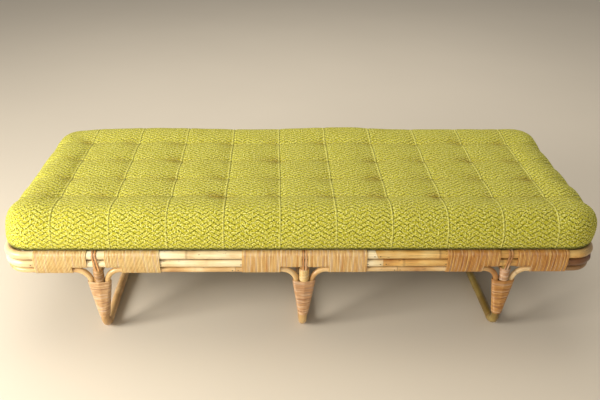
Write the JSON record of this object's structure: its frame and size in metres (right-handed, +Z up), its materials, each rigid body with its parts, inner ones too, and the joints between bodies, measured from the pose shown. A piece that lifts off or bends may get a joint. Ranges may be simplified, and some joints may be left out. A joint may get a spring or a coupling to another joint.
{
  "type": "daybed",
  "caption": "Low rattan daybed: bent-pole rails on sled legs with cane braces and peel wrappings, and a loose tufted mattress.",
  "frame": {"origin": "on the floor, under the middle of the bed", "axes": "+X along the bed's length to the right seen from the front, +Y to the back, +Z up"},
  "size_m": [1.9, 0.762, 0.4366],
  "materials": {
    "rail": "lacquered rattan pole, skin on",
    "sled": "lacquered rattan pole, darker",
    "brace": "lacquered thin rattan cane",
    "peel": "wound rattan peel, lacquered",
    "binding": "wound rattan peel strand",
    "deck": "unfinished rattan",
    "fabric": "woven diamond twill",
    "foam": "upholstery filling"
  },
  "bodies": {
    "frame": {"brace_end_left": "brace", "brace_end_right": "brace", "brace_front_left_inner": "brace", "brace_front_left_outer": "brace", "brace_front_right_inner": "brace", "brace_front_right_outer": "brace", "brace_rear_left_inner": "brace", "brace_rear_left_outer": "brace", "brace_rear_right_inner": "brace", "brace_rear_right_outer": "brace", "cross_bar_left": "deck", "cross_bar_middle": "deck", "cross_bar_right": "deck", "ledger_front": "deck", "ledger_rear": "deck", "leg_wrap_front_left": "peel", "leg_wrap_front_middle": "peel", "leg_wrap_front_right": "peel", "leg_wrap_rear_left": "peel", "leg_wrap_rear_middle": "peel", "leg_wrap_rear_right": "peel", "lower_rail_left": "rail", "lower_rail_right": "rail", "post_binding_front_left": "binding", "post_binding_front_middle": "binding", "post_binding_front_right": "binding", "post_binding_rear_left": "binding", "post_binding_rear_middle": "binding", "post_binding_rear_right": "binding", "rail_wrap_front_left_l": "peel", "rail_wrap_front_left_r": "peel", "rail_wrap_front_middle_l": "peel", "rail_wrap_front_middle_r": "peel", "rail_wrap_front_right_l": "peel", "rail_wrap_front_right_r": "peel", "rail_wrap_rear_left_l": "peel", "rail_wrap_rear_left_r": "peel", "rail_wrap_rear_middle_l": "peel", "rail_wrap_rear_middle_r": "peel", "rail_wrap_rear_right_l": "peel", "rail_wrap_rear_right_r": "peel", "slat_01": "deck", "slat_02": "deck", "slat_03": "deck", "slat_04": "deck", "slat_05": "deck", "slat_06": "deck", "slat_07": "deck", "slat_08": "deck", "slat_09": "deck", "slat_10": "deck", "slat_11": "deck", "sled_left": "sled", "sled_middle": "sled", "sled_right": "sled", "spine": "deck", "top_rail_left": "rail", "top_rail_right": "rail"},
    "mattress": {"mattress_core": "foam", "mattress_cover": "fabric"}
  },
  "joints": [
    {"name": "mattress_lift", "type": "slide", "parent": "frame", "child": "mattress", "axis": [0, 0, 1], "range_m": [0, 0.25]}
  ]
}
